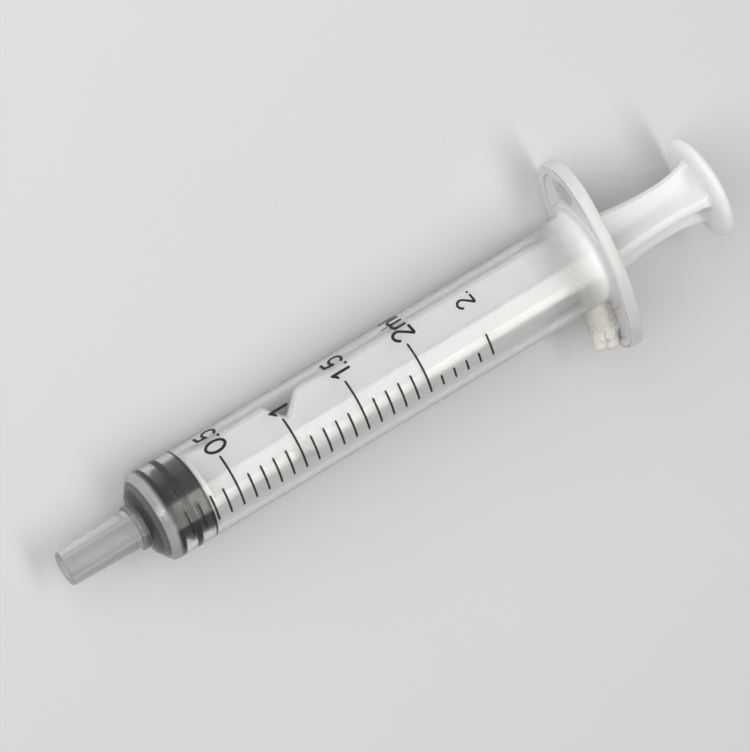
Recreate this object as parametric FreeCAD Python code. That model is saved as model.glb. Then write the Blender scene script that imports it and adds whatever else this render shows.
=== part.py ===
"""A small dosing syringe lying on its side, with the plunger pushed home.

Three pieces: a clear barrel with its slip nozzle and finger flange, a black ribbed stopper, and a white
plunger rod of four ribs. The lines of the printed scale are a fourth solid, the ink on the barrel.
Everything is built along the syringe's own axis: x runs from the nozzle to the thumb disc and is 0 at the
scale's zero, y runs from ear to ear and z points up. At the end the syringe is laid on a flat surface.
"""
import FreeCAD, Part
import math
import os

from FreeCAD import Vector

# Sizes in millimetres and degrees.

# Barrel tube
BORE_DIAMETER = 8.93
BARREL_WALL = 0.785
BARREL_END = 56.7
FRONT_WALL_LENGTH = 2.15
FRONT_FACE_RADIUS = 3.72
FRONT_FACE_SLOPE_LENGTH = 0.39
FRONT_BEVEL_LENGTH = 1.14
FRONT_RIM_ROUND = 0.6
BORE_LAND = 0.15
END_CONE_LENGTH = 1.15
MOUTH_FLARE_LENGTH = 0.8
MOUTH_FLARE = 0.35

# Retaining bead inside the mouth
BEAD_FROM_MOUTH = 4.3
BEAD_HEIGHT = 0.2
BEAD_WIDTH = 0.9
BEAD_ROUND = 0.1

# Slip nozzle
NOZZLE_LENGTH = 8.6
NOZZLE_TIP_DIAMETER = 4.0
NOZZLE_TAPER = 0.06
NOZZLE_BORE = 2.0
NOZZLE_TIP_ROUND = 0.25
COLLAR_STEP = 0.37
COLLAR_LENGTH = 0.9
COLLAR_ROUND = 0.12

# Finger flange
FLANGE_THICKNESS = 1.45
FLANGE_HALF_LENGTH = 11.8
FLANGE_SIDE_MARGIN = 1.7
EAR_NARROWING = 1.75
FLANGE_EDGE_ROUND = 0.2
FLANGE_ROOT_FILLET = 0.6
EAR_PANEL_MARGIN = 1.15
EAR_PANEL_DEPTH = 0.15
EAR_PANEL_ROOT_GAP = 1.1

# Torn lump of moulding left on the front of one ear
LUMP_RADIUS = 1.6
LUMP_ROOT_HEIGHT = 1.0
LUMP_END_HEIGHT = 0.5
LUMP_BODY_REACH = 3.3
LUMP_FRONT_LOBE_RADIUS = 0.92
LUMP_FRONT_LOBE_REACH = 4.75
LUMP_REAR_LOBE_RADIUS = 0.98
LUMP_REAR_LOBE_REACH = 4.85
LUMP_LOBE_SPREAD = 0.8
LUMP_END_ROUNDNESS = 0.85
LUMP_SEAT = 0.3

# Stopper
STOPPER_LENGTH = 4.65
STOPPER_CLEARANCE = 0.03
NOSE_GAP = 0.12
FRONT_RIB_WIDTH = 0.75
GROOVE_WIDTH = 1.2
GROOVE_DEPTH = 0.5
REAR_RIB_WIDTH = 0.8
REAR_LAND_DEPTH = 0.14
REAR_LIP_WIDTH = 0.3
RIB_ROUND = 0.12
GROOVE_ROUND = 0.2
REAR_LIP_ROUND = 0.05

# Snap head of the rod, in the stopper's socket
SNAP_NECK_RADIUS = 1.35
SNAP_HEAD_RADIUS = 2.05
SNAP_NECK_LENGTH = 1.25
SNAP_HEAD_LENGTH = 1.6
SNAP_HEAD_CHAMFER = 0.7
SNAP_CLEARANCE = 0.1

# Plunger rod
ROD_GAP = 0.04
FRONT_DISC_RADIUS = 4.3
FRONT_DISC_THICKNESS = 0.65
RIB_CLEARANCE = 0.065
RIB_THICKNESS = 1.1
RIB_CORE_RADIUS = 0.95
TAPER_FROM_MOUTH = 2.2
TAPER_LENGTH = 8.0
TAPER_START_ROUND = 4.0
WAIST_RADIUS = 3.0
WAIST_ROUND = 30.0

# Break notch across the four ribs
NOTCH_CENTRE = 17.5
NOTCH_NECK_RADIUS = 1.85
NOTCH_FRONT_LENGTH = 2.1
NOTCH_REAR_LENGTH = 2.0
NOTCH_FRONT_ROUND = 0.3
NOTCH_NECK_ROUND = 0.35
NOTCH_REAR_ROUND = 1.5

# Thumb disc
THUMB_DISC_FROM_MOUTH = 12.95
THUMB_DISC_RADIUS = 5.94
THUMB_DISC_THICKNESS = 1.3
THUMB_DISC_ROUND = 0.5
THUMB_FLARE_LENGTH = 2.5
THUMB_FLARE_RISE = 0.75
THUMB_FLARE_ROUND = 12.0

# Printed scale, its angles measured about the axis from the top towards the ear with no lump
DIVISION_VOLUME = 100.0
NUMBERED_DIVISIONS = 20
FINE_DIVISIONS = 5
DIVISIONS_PER_NUMBER = 5
LINE_WIDTH = 0.21
INK_THICKNESS = 0.03
SCALE_EDGE_ANGLE = -18.0
LONG_LINE_ARC = 69.0
SHORT_LINE_ARC = 35.0
FINE_LINE_ARC = 15.0
LAST_LINE_ARC = 31.0

# Worked out from the sizes above
OVERLAP = 0.3
BORE_RADIUS = BORE_DIAMETER / 2
BARREL_RADIUS = BORE_RADIUS + BARREL_WALL
FRONT_FACE = -FRONT_WALL_LENGTH
FRONT_BEVEL_START = FRONT_FACE + FRONT_FACE_SLOPE_LENGTH
FRONT_BEVEL_END = FRONT_BEVEL_START + FRONT_BEVEL_LENGTH
COLLAR_FRONT = FRONT_FACE - COLLAR_LENGTH
NOZZLE_TIP = COLLAR_FRONT - NOZZLE_LENGTH
NOZZLE_BORE_RADIUS = NOZZLE_BORE / 2
NOZZLE_TIP_RADIUS = NOZZLE_TIP_DIAMETER / 2
NOZZLE_BASE_RADIUS = NOZZLE_TIP_RADIUS + NOZZLE_TAPER / 2 * NOZZLE_LENGTH
COLLAR_RADIUS = NOZZLE_BASE_RADIUS + COLLAR_STEP
END_CONE_TIP = -BORE_LAND - END_CONE_LENGTH
BEAD_CENTRE = BARREL_END - BEAD_FROM_MOUTH
BEAD_RADIUS = BORE_RADIUS - BEAD_HEIGHT
FLANGE_FRONT = BARREL_END - FLANGE_THICKNESS
FLANGE_HALF_WIDTH = BARREL_RADIUS + FLANGE_SIDE_MARGIN
EAR_TIP_RADIUS = FLANGE_HALF_WIDTH - EAR_NARROWING
STOPPER_RADIUS = BORE_RADIUS - STOPPER_CLEARANCE
ROD_FRONT = STOPPER_LENGTH + ROD_GAP
SNAP_NECK_FRONT = ROD_FRONT - SNAP_NECK_LENGTH
SNAP_HEAD_FRONT = SNAP_NECK_FRONT - SNAP_HEAD_LENGTH
RIB_RADIUS = BEAD_RADIUS - RIB_CLEARANCE
RIB_FRONT = ROD_FRONT + FRONT_DISC_THICKNESS
TAPER_START = BARREL_END - TAPER_FROM_MOUTH
THUMB_DISC_FRONT = BARREL_END + THUMB_DISC_FROM_MOUTH
ROD_END = THUMB_DISC_FRONT + THUMB_DISC_THICKNESS
DIVISION_LENGTH = DIVISION_VOLUME / (math.pi * BORE_RADIUS**2)

FULL_TURN = 360.0
SAME_PLACE = 1e-6
ORIGIN = Vector(0, 0, 0)
AXIS = Vector(1, 0, 0)
ACROSS = Vector(0, 1, 0)


def rounded_wire(corners):
    """A closed planar wire through (point, radius) corners, with a tangent arc wherever the radius isn't 0."""
    arcs = []
    for i, (corner, radius) in enumerate(corners):
        back = (corners[i - 1][0] - corner).normalize()
        onward = (corners[(i + 1) % len(corners)][0] - corner).normalize()
        half_angle = back.getAngle(onward) / 2
        reach = radius / math.tan(half_angle)
        apex_gap = radius / math.sin(half_angle) - radius
        middle = corner + (back + onward).normalize() * apex_gap
        arcs.append((corner + back * reach, middle, corner + onward * reach))
    edges = []
    for i, (start, middle, end) in enumerate(arcs):
        if (end - start).Length > SAME_PLACE:
            edges.append(Part.Arc(start, middle, end).toShape())
        following = arcs[(i + 1) % len(arcs)][0]
        if (following - end).Length > SAME_PLACE:
            edges.append(Part.LineSegment(end, following).toShape())
    return Part.Wire(edges)


def turned(outline):
    """The solid of revolution about the axis of an outline given as (x, radius, corner rounding)."""
    corners = [(Vector(x, 0, r), rounding) for x, r, rounding in outline]
    return Part.Face(rounded_wire(corners)).revolve(ORIGIN, AXIS, FULL_TURN)


def oval(inset):
    """The flange's outline, moved inwards by inset: two round ear tips joined by two long flat arcs."""
    tip_centre = FLANGE_HALF_LENGTH - EAR_TIP_RADIUS
    side_radius = (tip_centre**2 + FLANGE_HALF_WIDTH**2 - EAR_TIP_RADIUS**2) / (2 * EAR_NARROWING)
    side_centre = side_radius - FLANGE_HALF_WIDTH
    join_angle = math.atan2(side_centre, tip_centre)

    def on_tip(angle):
        radius = EAR_TIP_RADIUS - inset
        return Vector(0, tip_centre + radius * math.cos(angle), radius * math.sin(angle))

    def mirrored(point, y_sign, z_sign):
        return Vector(point.x, point.y * y_sign, point.z * z_sign)

    join = on_tip(join_angle)
    tip = on_tip(0)
    side = Vector(0, 0, FLANGE_HALF_WIDTH - inset)
    edges = [
        Part.Arc(mirrored(join, 1, -1), tip, join),
        Part.Arc(join, side, mirrored(join, -1, 1)),
        Part.Arc(mirrored(join, -1, 1), mirrored(tip, -1, 1), mirrored(join, -1, -1)),
        Part.Arc(mirrored(join, -1, -1), mirrored(side, 1, -1), mirrored(join, 1, -1)),
    ]
    return Part.Wire([edge.toShape() for edge in edges])


def oval_plate(inset, start, thickness):
    """A plate of the flange's outline, square to the axis."""
    plate = Part.Face(oval(inset)).extrude(AXIS * thickness)
    plate.translate(AXIS * start)
    return plate


def ear_panel():
    """The shallow sunk panel on the front of both ears, stopping short of the tube."""
    sunk = oval_plate(EAR_PANEL_MARGIN, FLANGE_FRONT - OVERLAP, OVERLAP + EAR_PANEL_DEPTH)
    root = BARREL_RADIUS + EAR_PANEL_ROOT_GAP
    hub_length = OVERLAP + EAR_PANEL_DEPTH
    hub = Part.makeCylinder(root, hub_length, AXIS * (FLANGE_FRONT - OVERLAP), AXIS)
    return sunk.cut(hub)


def finger_flange():
    """The oval finger flange with its rounded rim and the panels on its ears."""
    plate = oval_plate(0, FLANGE_FRONT, FLANGE_THICKNESS)
    rims = [edge for edge in plate.Edges if abs(edge.tangentAt(edge.FirstParameter).x) < SAME_PLACE]
    return plate.makeFillet(FLANGE_EDGE_ROUND, rims).cut(ear_panel())


def round_ended_bar(start, end, radius):
    """A round bar that reaches a radius past its end point, where it is rounded to a small flat."""
    direction = (end - start).normalize()
    tip = end + direction * radius
    bar = Part.makeCylinder(radius, (tip - start).Length, start, direction)
    rim = [edge for edge in bar.Edges if (edge.CenterOfMass - tip).Length < SAME_PLACE]
    return bar.makeFillet(radius * LUMP_END_ROUNDNESS, rim)


def torn_lump():
    """The torn lump on one ear: a thick root out of the tube that ends in two lobes with a crease between."""
    seat = FLANGE_FRONT + LUMP_SEAT - LUMP_RADIUS
    root = Vector(seat, -BORE_RADIUS, LUMP_ROOT_HEIGHT)
    body_end = Vector(seat, -BARREL_RADIUS - LUMP_BODY_REACH, LUMP_END_HEIGHT)
    lump = round_ended_bar(root, body_end, LUMP_RADIUS)
    lobe_root = (root + body_end) / 2
    front_lobe = (-LUMP_LOBE_SPREAD, LUMP_FRONT_LOBE_REACH, LUMP_FRONT_LOBE_RADIUS)
    rear_lobe = (LUMP_LOBE_SPREAD, LUMP_REAR_LOBE_REACH, LUMP_REAR_LOBE_RADIUS)
    for spread, reach, radius in (front_lobe, rear_lobe):
        aside = AXIS * spread
        lobe_end = Vector(seat, -BARREL_RADIUS - reach, LUMP_END_HEIGHT)
        lump = lump.fuse(round_ended_bar(lobe_root + aside / 2, lobe_end + aside, radius))
    return lump


def barrel_outside():
    """Nozzle, collar, rounded front wall and tube, filled solid as far as the middle of the flange."""
    flange_middle = FLANGE_FRONT + FLANGE_THICKNESS / 2
    fillet_top = BARREL_RADIUS + FLANGE_ROOT_FILLET
    return turned([
        (NOZZLE_TIP, 0, 0),
        (NOZZLE_TIP, NOZZLE_TIP_RADIUS, NOZZLE_TIP_ROUND),
        (COLLAR_FRONT, NOZZLE_BASE_RADIUS, 0),
        (COLLAR_FRONT, COLLAR_RADIUS, COLLAR_ROUND),
        (FRONT_FACE, COLLAR_RADIUS, COLLAR_ROUND),
        (FRONT_BEVEL_START, FRONT_FACE_RADIUS, COLLAR_ROUND),
        (FRONT_BEVEL_END, BARREL_RADIUS, FRONT_RIM_ROUND),
        (FLANGE_FRONT, BARREL_RADIUS, FLANGE_ROOT_FILLET),
        (FLANGE_FRONT, fillet_top, 0),
        (flange_middle, fillet_top, 0),
        (flange_middle, 0, 0),
    ])


def barrel_cavity():
    """The fluid bore, the conical end wall, the bore with its retaining bead, and the flared mouth."""
    bead_foot = BEAD_WIDTH / 2
    bead_crown = BEAD_WIDTH / 4
    mouth_start = BARREL_END - MOUTH_FLARE_LENGTH
    mouth_slope = MOUTH_FLARE / MOUTH_FLARE_LENGTH
    return turned([
        (NOZZLE_TIP - OVERLAP, 0, 0),
        (NOZZLE_TIP - OVERLAP, NOZZLE_BORE_RADIUS, 0),
        (END_CONE_TIP, NOZZLE_BORE_RADIUS, 0),
        (-BORE_LAND, BORE_RADIUS, BORE_LAND),
        (BEAD_CENTRE - bead_foot, BORE_RADIUS, BEAD_ROUND),
        (BEAD_CENTRE - bead_crown, BEAD_RADIUS, BEAD_ROUND),
        (BEAD_CENTRE + bead_crown, BEAD_RADIUS, BEAD_ROUND),
        (BEAD_CENTRE + bead_foot, BORE_RADIUS, BEAD_ROUND),
        (mouth_start, BORE_RADIUS, 0),
        (BARREL_END + OVERLAP, BORE_RADIUS + MOUTH_FLARE + OVERLAP * mouth_slope, 0),
        (BARREL_END + OVERLAP, 0, 0),
    ])


def barrel():
    """The whole clear moulding."""
    outside = barrel_outside().fuse([finger_flange(), torn_lump()])
    return outside.cut(barrel_cavity()).removeSplitter()


def nose_place(radius):
    """Where the stopper's nose lies at a radius: along the barrel's end cone, a small gap behind it."""
    share = (BORE_RADIUS - radius) / (BORE_RADIUS - NOZZLE_BORE_RADIUS)
    return NOSE_GAP - BORE_LAND - END_CONE_LENGTH * share


def stopper():
    """The rubber stopper: conical nose, two sealing ribs, a relieved land with a rear lip, and the socket."""
    groove_radius = STOPPER_RADIUS - GROOVE_DEPTH
    land_radius = STOPPER_RADIUS - REAR_LAND_DEPTH
    groove_end = FRONT_RIB_WIDTH + GROOVE_WIDTH
    rear_rib_end = groove_end + REAR_RIB_WIDTH
    lip_start = STOPPER_LENGTH - REAR_LIP_WIDTH
    nose_tip = nose_place(NOZZLE_BORE_RADIUS)
    body = turned([
        (nose_tip, 0, 0),
        (nose_tip, NOZZLE_BORE_RADIUS, RIB_ROUND),
        (nose_place(STOPPER_RADIUS), STOPPER_RADIUS, RIB_ROUND),
        (FRONT_RIB_WIDTH, STOPPER_RADIUS, RIB_ROUND),
        (FRONT_RIB_WIDTH, groove_radius, GROOVE_ROUND),
        (groove_end, groove_radius, GROOVE_ROUND),
        (groove_end, STOPPER_RADIUS, RIB_ROUND),
        (rear_rib_end, STOPPER_RADIUS, REAR_LIP_ROUND),
        (rear_rib_end, land_radius, REAR_LIP_ROUND),
        (lip_start, land_radius, REAR_LIP_ROUND),
        (lip_start, STOPPER_RADIUS, REAR_LIP_ROUND),
        (STOPPER_LENGTH, STOPPER_RADIUS, RIB_ROUND),
        (STOPPER_LENGTH, 0, 0),
    ])
    return body.cut(stopper_socket())


def stopper_socket():
    """The hollow for the rod's snap head, open at the back through its narrower neck."""
    floor = SNAP_HEAD_FRONT - SNAP_CLEARANCE
    shoulder = SNAP_NECK_FRONT + SNAP_CLEARANCE
    head_radius = SNAP_HEAD_RADIUS + SNAP_CLEARANCE
    neck_radius = SNAP_NECK_RADIUS + SNAP_CLEARANCE
    return turned([
        (floor, 0, 0),
        (floor, head_radius, 0),
        (shoulder, head_radius, 0),
        (shoulder, neck_radius, 0),
        (STOPPER_LENGTH + OVERLAP, neck_radius, 0),
        (STOPPER_LENGTH + OVERLAP, 0, 0),
    ])


def snap_head():
    """The head that snaps into the stopper, on its neck."""
    return turned([
        (SNAP_HEAD_FRONT, 0, 0),
        (SNAP_HEAD_FRONT, SNAP_HEAD_RADIUS - SNAP_HEAD_CHAMFER, 0),
        (SNAP_HEAD_FRONT + SNAP_HEAD_CHAMFER, SNAP_HEAD_RADIUS, 0),
        (SNAP_NECK_FRONT, SNAP_HEAD_RADIUS, 0),
        (SNAP_NECK_FRONT, SNAP_NECK_RADIUS, 0),
        (ROD_FRONT + OVERLAP, SNAP_NECK_RADIUS, 0),
        (ROD_FRONT + OVERLAP, 0, 0),
    ])


def rib_envelope():
    """What the four ribs are cut from: full width in the bore, the break notch, the waist and the flare."""
    start = RIB_FRONT - OVERLAP
    flare_start = THUMB_DISC_FRONT - THUMB_FLARE_LENGTH
    flare_slope = THUMB_FLARE_RISE / THUMB_FLARE_LENGTH
    flare_end_radius = WAIST_RADIUS + THUMB_FLARE_RISE + OVERLAP * flare_slope
    return turned([
        (start, 0, 0),
        (start, RIB_RADIUS, 0),
        (NOTCH_CENTRE - NOTCH_FRONT_LENGTH, RIB_RADIUS, NOTCH_FRONT_ROUND),
        (NOTCH_CENTRE, NOTCH_NECK_RADIUS, NOTCH_NECK_ROUND),
        (NOTCH_CENTRE + NOTCH_REAR_LENGTH, RIB_RADIUS, NOTCH_REAR_ROUND),
        (TAPER_START, RIB_RADIUS, TAPER_START_ROUND),
        (TAPER_START + TAPER_LENGTH, WAIST_RADIUS, WAIST_ROUND),
        (flare_start, WAIST_RADIUS, THUMB_FLARE_ROUND),
        (THUMB_DISC_FRONT + OVERLAP, flare_end_radius, 0),
        (THUMB_DISC_FRONT + OVERLAP, 0, 0),
    ])


def rod_cross():
    """Two crossed slabs as long as the rod, wider than any rib, and the round core where they meet."""
    length = THUMB_DISC_FRONT + OVERLAP - RIB_FRONT
    across = 2 * THUMB_DISC_RADIUS
    half = RIB_THICKNESS / 2
    flat = Part.makeBox(length, across, RIB_THICKNESS, Vector(RIB_FRONT, -across / 2, -half))
    upright = Part.makeBox(length, RIB_THICKNESS, across, Vector(RIB_FRONT, -half, -across / 2))
    core = Part.makeCylinder(RIB_CORE_RADIUS, length, AXIS * RIB_FRONT, AXIS)
    return flat.fuse([upright, core])


def front_disc():
    """The disc that pushes on the stopper's back."""
    return Part.makeCylinder(FRONT_DISC_RADIUS, FRONT_DISC_THICKNESS, AXIS * ROD_FRONT, AXIS)


def thumb_disc():
    """The disc under the thumb, with a rounded rim and a flat back."""
    return turned([
        (THUMB_DISC_FRONT, 0, 0),
        (THUMB_DISC_FRONT, THUMB_DISC_RADIUS, THUMB_DISC_ROUND),
        (ROD_END, THUMB_DISC_RADIUS, THUMB_DISC_ROUND),
        (ROD_END, 0, 0),
    ])


def plunger_rod():
    """The whole white moulding."""
    ribs = rib_envelope().common(rod_cross())
    return ribs.fuse([snap_head(), front_disc(), thumb_disc()]).removeSplitter()


def scale_line(division, arc):
    """One printed line: a thin sector of ink on the tube, its lower end on the scale's edge."""
    middle = division * DIVISION_LENGTH
    front = Vector(middle - LINE_WIDTH / 2, 0, BARREL_RADIUS)
    back = Vector(middle + LINE_WIDTH / 2, 0, BARREL_RADIUS)
    rise = Vector(0, 0, INK_THICKNESS)
    section = Part.Face(Part.makePolygon([front, back, back + rise, front + rise, front]))
    line = section.revolve(ORIGIN, AXIS, arc)
    line.rotate(ORIGIN, AXIS, -SCALE_EDGE_ANGLE - arc)
    return line


def line_arc(division):
    """How far a division's line reaches round the tube."""
    last = NUMBERED_DIVISIONS + FINE_DIVISIONS
    if division == last:
        return LAST_LINE_ARC
    if division > NUMBERED_DIVISIONS:
        return FINE_LINE_ARC
    if division % DIVISIONS_PER_NUMBER == 0:
        return LONG_LINE_ARC
    return SHORT_LINE_ARC


def scale_print():
    """All the graduation lines, one per division, with no line at zero."""
    divisions = range(1, NUMBERED_DIVISIONS + FINE_DIVISIONS + 1)
    return Part.makeCompound([scale_line(division, line_arc(division)) for division in divisions])


def rest_tilt():
    """How far the nozzle dips when the front rim and the flange's rim lie on one flat surface."""
    bevel = math.atan2(BARREL_RADIUS - FRONT_FACE_RADIUS, FRONT_BEVEL_LENGTH)
    front_touch = FRONT_BEVEL_END + FRONT_RIM_ROUND * math.tan(bevel / 2)
    along = FLANGE_FRONT + FLANGE_EDGE_ROUND - front_touch
    drop = (FLANGE_HALF_WIDTH - FLANGE_EDGE_ROUND) - (BARREL_RADIUS - FRONT_RIM_ROUND)
    rounds = FRONT_RIM_ROUND - FLANGE_EDGE_ROUND
    return math.degrees(math.atan2(drop, along) - math.asin(rounds / math.hypot(along, drop)))


def laid_down(pieces):
    """The pieces tipped to rest, with the origin under the middle of their box."""
    for shape in pieces.values():
        shape.rotate(ORIGIN, ACROSS, -rest_tilt())
    box = Part.makeCompound(list(pieces.values())).optimalBoundingBox(False, False)
    shift = Vector(-box.Center.x, -box.Center.y, -box.ZMin)
    for shape in pieces.values():
        shape.translate(shift)
    return pieces


PIECES = laid_down({
    "barrel": barrel(),
    "stopper": stopper(),
    "plunger_rod": plunger_rod(),
    "scale_print": scale_print(),
})
os.makedirs("parts", exist_ok=True)
for name, shape in PIECES.items():
    shape.exportStep(f"parts/{name}.step")
    print(name, "solids", len(shape.Solids), "valid", shape.isValid(), "volume", round(shape.Volume, 2))
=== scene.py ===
"""Looks of a small dosing syringe on its side: clear barrel, black stopper, white plunger rod, black print.

Meshes are made in millimetres along the syringe's own axis (x from nozzle to thumb disc, 0 at the scale's
zero, y from ear to ear, z up) and laid down into the frame, in metres, at the end.
"""
import math

import bmesh
import bpy
import numpy as np
from mathutils import Matrix, Vector, noise


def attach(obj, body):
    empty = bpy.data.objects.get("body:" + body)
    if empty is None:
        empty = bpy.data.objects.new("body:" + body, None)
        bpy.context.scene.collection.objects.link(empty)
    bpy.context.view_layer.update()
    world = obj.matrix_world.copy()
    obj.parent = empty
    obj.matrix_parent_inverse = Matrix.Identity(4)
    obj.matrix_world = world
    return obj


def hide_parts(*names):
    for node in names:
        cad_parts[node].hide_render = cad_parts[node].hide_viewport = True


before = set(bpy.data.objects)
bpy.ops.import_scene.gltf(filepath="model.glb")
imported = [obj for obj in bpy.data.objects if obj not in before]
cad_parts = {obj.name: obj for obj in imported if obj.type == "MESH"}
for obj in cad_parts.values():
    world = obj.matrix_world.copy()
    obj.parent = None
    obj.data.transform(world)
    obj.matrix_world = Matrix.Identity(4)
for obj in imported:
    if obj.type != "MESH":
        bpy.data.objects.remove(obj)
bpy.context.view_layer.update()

# Sizes in millimetres and degrees
MM = 0.001

# Barrel tube
BORE_RADIUS = 4.465
BARREL_WALL = 0.785
BARREL_END = 56.7
FRONT_WALL_LENGTH = 2.15
FRONT_FACE_RADIUS = 3.72
FRONT_FACE_SLOPE_LENGTH = 0.39
FRONT_BEVEL_LENGTH = 1.14
FRONT_RIM_ROUND = 0.6
BORE_LAND = 0.15
END_CONE_LENGTH = 1.15
MOUTH_FLARE_LENGTH = 0.8
MOUTH_FLARE = 0.35
INNER_ROUND = 0.1

# Retaining bead inside the mouth
BEAD_FROM_MOUTH = 4.3
BEAD_HEIGHT = 0.2
BEAD_WIDTH = 0.9

# Slip nozzle
NOZZLE_LENGTH = 8.6
NOZZLE_BORE_RADIUS = 1.0
NOZZLE_TIP_RADIUS = 2.0
NOZZLE_TAPER = 0.06
NOZZLE_TIP_ROUND = 0.25
NOZZLE_BORE_LIP = 0.1
COLLAR_LENGTH = 0.9
COLLAR_STEP = 0.37
COLLAR_ROUND = 0.12

# Finger flange
FLANGE_THICKNESS = 1.45
FLANGE_HALF_LENGTH = 11.8
FLANGE_SIDE_MARGIN = 1.7
EAR_NARROWING = 1.75
FLANGE_EDGE_ROUND = 0.2
FLANGE_ROOT_FILLET = 0.6
PANEL_MARGIN = 1.15
PANEL_BORDER = 0.32
PANEL_ROOT_GAP = 1.1
PANEL_ROOT_SLOPE = 0.2
PANEL_DEPTH = 0.15
PANEL_GROOVE_DEPTH = 0.12

# Stopper, pressed against the bore and the front wall
STOPPER_LENGTH = 4.65
STOPPER_SQUEEZE = 0.015
FRONT_RIB_WIDTH = 0.75
GROOVE_WIDTH = 1.2
GROOVE_DEPTH = 0.53
REAR_RIB_WIDTH = 0.8
REAR_LAND_DEPTH = 0.17
REAR_LIP_WIDTH = 0.3
RIB_ROUND = 0.12
GROOVE_ROUND = 0.2
REAR_LIP_ROUND = 0.05

# Snap head of the rod, in the stopper's socket
SNAP_NECK_RADIUS = 1.35
SNAP_HEAD_RADIUS = 2.05
SNAP_NECK_LENGTH = 1.25
SNAP_HEAD_LENGTH = 1.6
SNAP_HEAD_CHAMFER = 0.7
SNAP_CLEARANCE = 0.1

# Plunger rod
ROD_GAP = 0.04
FRONT_DISC_RADIUS = 4.3
FRONT_DISC_THICKNESS = 0.65
FRONT_DISC_ROUND = 0.12
RIB_CLEARANCE = 0.065
RIB_HALF = 0.55
RIB_CORE_RADIUS = 0.95
RIB_EDGE_ROUND = 0.14
TAPER_FROM_MOUTH = 2.2
TAPER_LENGTH = 8.0
TAPER_START_ROUND = 4.0
WAIST_RADIUS = 3.0
WAIST_ROUND = 30.0

# Break notch across the four ribs
NOTCH_CENTRE = 17.5
NOTCH_NECK_RADIUS = 1.85
NOTCH_FRONT_LENGTH = 2.1
NOTCH_REAR_LENGTH = 2.0
NOTCH_FRONT_ROUND = 0.3
NOTCH_NECK_ROUND = 0.35
NOTCH_REAR_ROUND = 1.5

# Thumb disc, with a soft front rim
THUMB_FROM_MOUTH = 12.95
THUMB_RADIUS = 5.94
THUMB_THICKNESS = 1.3
THUMB_FRONT_RIM_LENGTH = 0.75
THUMB_FRONT_RIM_REACH = 1.34
THUMB_BACK_ROUND = 0.5
THUMB_FLARE_LENGTH = 2.5
THUMB_FLARE_RISE = 0.75
THUMB_FLARE_ROUND = 12.0

# Printed scale, its angles measured about the axis from the top towards the ear with no lump
DIVISION_VOLUME = 100.0
NUMBERED_DIVISIONS = 20
FINE_DIVISIONS = 5
DIVISIONS_PER_NUMBER = 5
SCALE_EDGE_ANGLE = -18.0
LONG_LINE_ARC = 69.0
SHORT_LINE_ARC = 35.0
FINE_LINE_ARC = 15.0
LAST_LINE_ARC = 31.0
LINE_WIDTH = 0.25
INK_FOOT = 0.003
INK_TOP = 0.03
NUMERAL_ANGLE = 56.5
NUMERAL_HEIGHT = 2.5
NUMERAL_STROKE = 0.35
NUMERAL_SHIFT = 0.3
LAST_NUMERAL_ANGLE = 51.0
LAST_NUMERAL_HEIGHT = 2.05
LAST_NUMERAL_STROKE = 0.28
LAST_NUMERAL_SHIFT = -0.05

# Worked out from the sizes above
BARREL_RADIUS = BORE_RADIUS + BARREL_WALL
FRONT_FACE = -FRONT_WALL_LENGTH
BEVEL_START = FRONT_FACE + FRONT_FACE_SLOPE_LENGTH
BEVEL_END = BEVEL_START + FRONT_BEVEL_LENGTH
END_CONE_TIP = -BORE_LAND - END_CONE_LENGTH
COLLAR_FRONT = FRONT_FACE - COLLAR_LENGTH
NOZZLE_TIP = COLLAR_FRONT - NOZZLE_LENGTH
NOZZLE_BASE_RADIUS = NOZZLE_TIP_RADIUS + NOZZLE_TAPER / 2 * NOZZLE_LENGTH
COLLAR_RADIUS = NOZZLE_BASE_RADIUS + COLLAR_STEP
BEAD_CENTRE = BARREL_END - BEAD_FROM_MOUTH
BEAD_RADIUS = BORE_RADIUS - BEAD_HEIGHT
FLANGE_FRONT = BARREL_END - FLANGE_THICKNESS
FLANGE_HALF_WIDTH = BARREL_RADIUS + FLANGE_SIDE_MARGIN
EAR_TIP_RADIUS = FLANGE_HALF_WIDTH - EAR_NARROWING
FILLET_TOP = BARREL_RADIUS + FLANGE_ROOT_FILLET
PANEL_ROOT = BARREL_RADIUS + PANEL_ROOT_GAP
ROD_FRONT = STOPPER_LENGTH + ROD_GAP
SNAP_NECK_FRONT = ROD_FRONT - SNAP_NECK_LENGTH
SNAP_HEAD_FRONT = SNAP_NECK_FRONT - SNAP_HEAD_LENGTH
RIB_RADIUS = BEAD_RADIUS - RIB_CLEARANCE
RIB_FRONT = ROD_FRONT + FRONT_DISC_THICKNESS
TAPER_START = BARREL_END - TAPER_FROM_MOUTH
THUMB_FRONT = BARREL_END + THUMB_FROM_MOUTH
THUMB_BACK = THUMB_FRONT + THUMB_THICKNESS
DIVISION = DIVISION_VOLUME / (math.pi * BORE_RADIUS**2)
LAST_DIVISION = NUMBERED_DIVISIONS + FINE_DIVISIONS


# How the syringe lies in the frame

def rest_tilt():
    """How far the nozzle dips when the front rim and the flange's rim lie on a flat surface, in radians."""
    bevel = math.atan2(BARREL_RADIUS - FRONT_FACE_RADIUS, FRONT_BEVEL_LENGTH)
    front_touch = BEVEL_END + FRONT_RIM_ROUND * math.tan(bevel / 2)
    along = FLANGE_FRONT + FLANGE_EDGE_ROUND - front_touch
    drop = (FLANGE_HALF_WIDTH - FLANGE_EDGE_ROUND) - (BARREL_RADIUS - FRONT_RIM_ROUND)
    rounds = FRONT_RIM_ROUND - FLANGE_EDGE_ROUND
    return math.atan2(drop, along) - math.asin(rounds / math.hypot(along, drop))


REST_TILT = rest_tilt()

# Where the scale's zero comes to lie, with the origin under the middle of the tipped syringe's box
REST_SHIFT = (-29.692391372904133, 0.0, 5.2575546642755535)


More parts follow.
